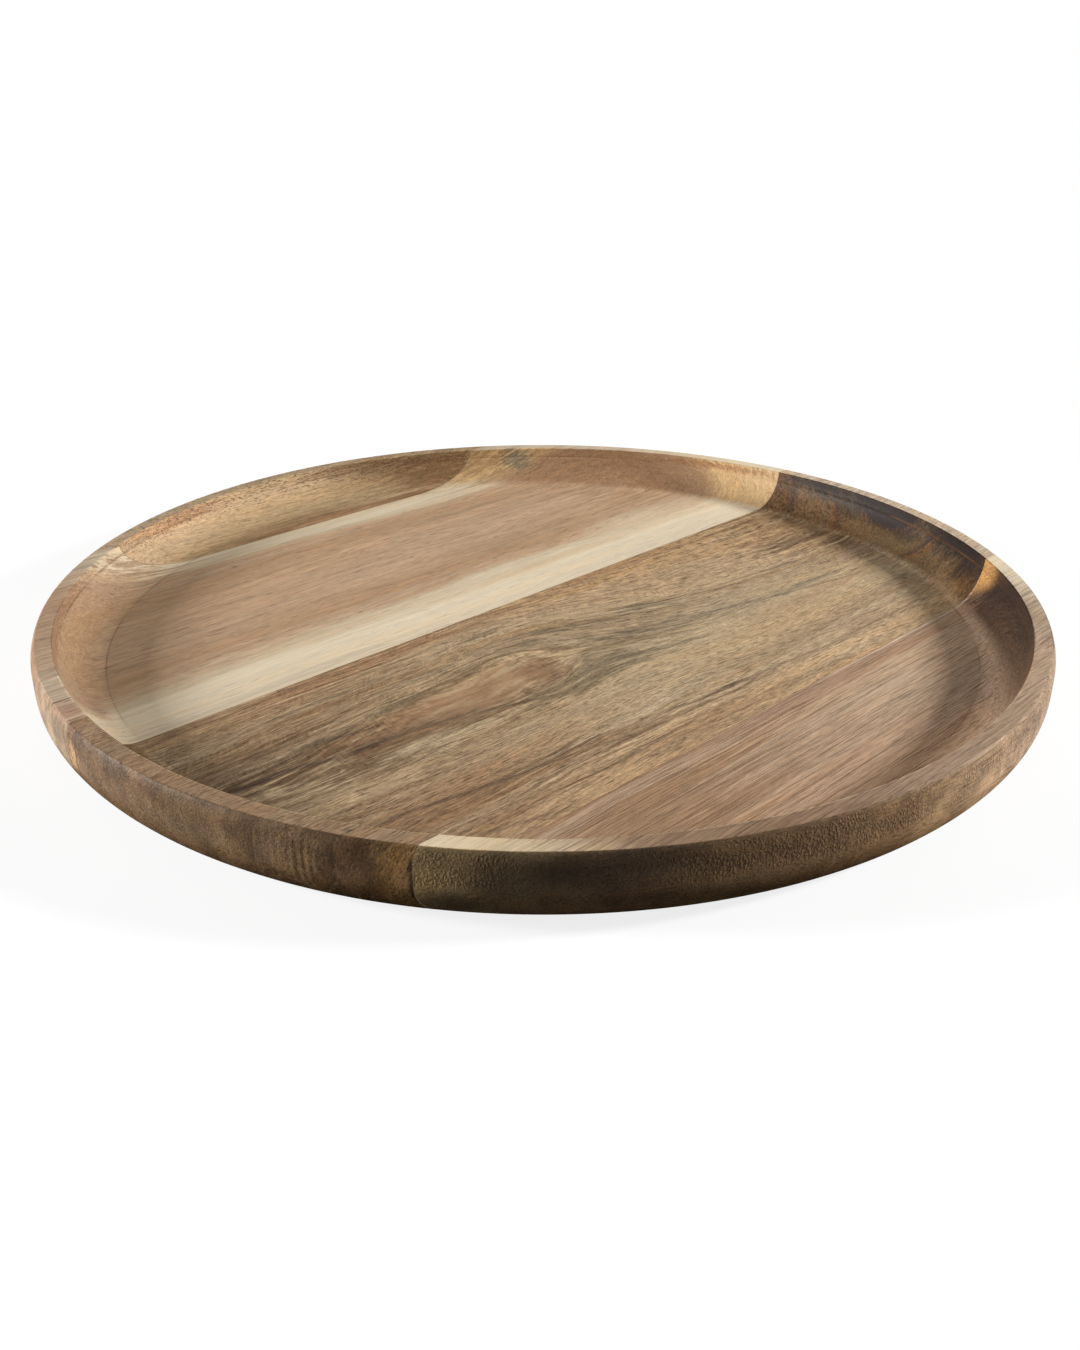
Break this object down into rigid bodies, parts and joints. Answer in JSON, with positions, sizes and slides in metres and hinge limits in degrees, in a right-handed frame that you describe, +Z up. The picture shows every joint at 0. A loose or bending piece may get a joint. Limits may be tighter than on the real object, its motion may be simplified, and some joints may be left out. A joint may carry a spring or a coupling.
{
  "type": "round wooden serving tray",
  "caption": "Shallow round serving tray turned from edge-glued acacia staves, with a coved inner wall, a flat rim and a rounded underside edge.",
  "frame": {"origin": "centre of the flat underside, on the surface the tray stands on", "axes": "+Z up along the turning axis, +X along the staves and their grain, +Y across the staves from the front edge stave to the back edge stave"},
  "size_m": [0.4, 0.4, 0.0275],
  "materials": {
    "back_edge_stave": "golden-brown heartwood, oiled, fine open pores",
    "sapwood_stave": "rose-brown heartwood edged with cream sapwood, oiled",
    "centre_stave": "olive-brown heartwood with near-black streaks, oiled",
    "front_edge_stave": "pinkish-brown straight-grained heartwood, oiled",
    "glue": "cured wood glue, amber brown, flush with the turned faces"
  },
  "bodies": {
    "root": {"back_edge_stave": "back_edge_stave", "sapwood_stave": "sapwood_stave", "centre_stave": "centre_stave", "front_edge_stave": "front_edge_stave", "back_glue_line": "glue", "middle_glue_line": "glue", "front_glue_line": "glue"}
  },
  "joints": []
}
